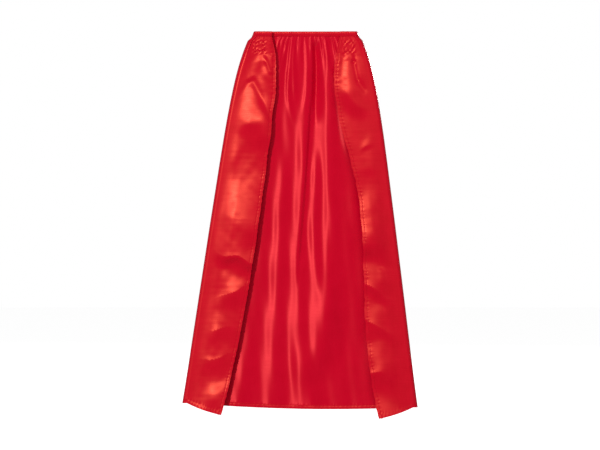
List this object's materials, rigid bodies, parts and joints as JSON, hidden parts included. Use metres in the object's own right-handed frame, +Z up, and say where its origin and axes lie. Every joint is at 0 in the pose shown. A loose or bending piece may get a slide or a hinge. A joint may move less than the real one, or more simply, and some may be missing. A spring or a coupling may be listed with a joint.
{
  "type": "costume cape",
  "caption": "Flared satin cape, shown closed: a wide back with two narrower fronts folded over it and hanging from an elasticated, gathered neck. The fronts swing open.",
  "frame": {"origin": "middle of the neck opening, level with the top of the neck casing and halfway between the back and the fronts", "axes": "+Z up along the wearer's spine, -Y towards the cape's front, +X to the right as seen from the front"},
  "size_m": [0.4361, 0.0194, 0.718],
  "materials": {
    "satin": "glossy polyester satin",
    "thread": "spun polyester thread",
    "elastic": "knitted elastic",
    "hook_fastener": "woven tape with moulded hooks"
  },
  "bodies": {
    "back": {"back_hem": "satin", "back_hem_thread": "thread", "back_panel": "satin", "neck_casing_back": "satin", "neck_casing_thread_back": "thread", "neck_casing_thread_turn_left": "thread", "neck_casing_thread_turn_right": "thread", "neck_casing_turn_left": "satin", "neck_casing_turn_right": "satin", "neck_elastic_back": "elastic", "neck_elastic_turn_left": "elastic", "neck_elastic_turn_right": "elastic", "side_fold_hem_left": "satin", "side_fold_hem_right": "satin", "side_fold_hem_thread_left": "thread", "side_fold_hem_thread_right": "thread", "side_fold_left": "satin", "side_fold_right": "satin"},
    "front_left": {"front_left_bottom_hem": "satin", "front_left_edge_hem": "satin", "front_left_edge_thread": "thread", "front_left_hem_thread": "thread", "front_left_panel": "satin", "hook_patch_left": "hook_fastener", "hook_patch_stitching_left": "thread", "neck_casing_left": "satin", "neck_casing_thread_left": "thread", "neck_elastic_left": "elastic"},
    "front_right": {"front_right_bottom_hem": "satin", "front_right_edge_hem": "satin", "front_right_edge_thread": "thread", "front_right_hem_thread": "thread", "front_right_panel": "satin", "hook_patch_right": "hook_fastener", "hook_patch_stitching_right": "thread", "neck_casing_right": "satin", "neck_casing_thread_right": "thread", "neck_elastic_right": "elastic"}
  },
  "joints": [
    {"name": "left_front_opens", "type": "hinge", "parent": "back", "child": "front_left", "pos_m": [-0.111, 0, 0], "axis": [-0.1747, 0, -0.9846], "range_deg": [0, 175], "deforming": ["side_fold_hem_left", "side_fold_hem_thread_left", "side_fold_left", "neck_casing_thread_turn_left", "neck_casing_turn_left", "neck_elastic_turn_left"]},
    {"name": "right_front_opens", "type": "hinge", "parent": "back", "child": "front_right", "pos_m": [0.111, 0, 0], "axis": [-0.1445, 0, 0.9895], "range_deg": [0, 175], "deforming": ["side_fold_hem_right", "side_fold_hem_thread_right", "side_fold_right", "neck_casing_thread_turn_right", "neck_casing_turn_right", "neck_elastic_turn_right"]}
  ]
}
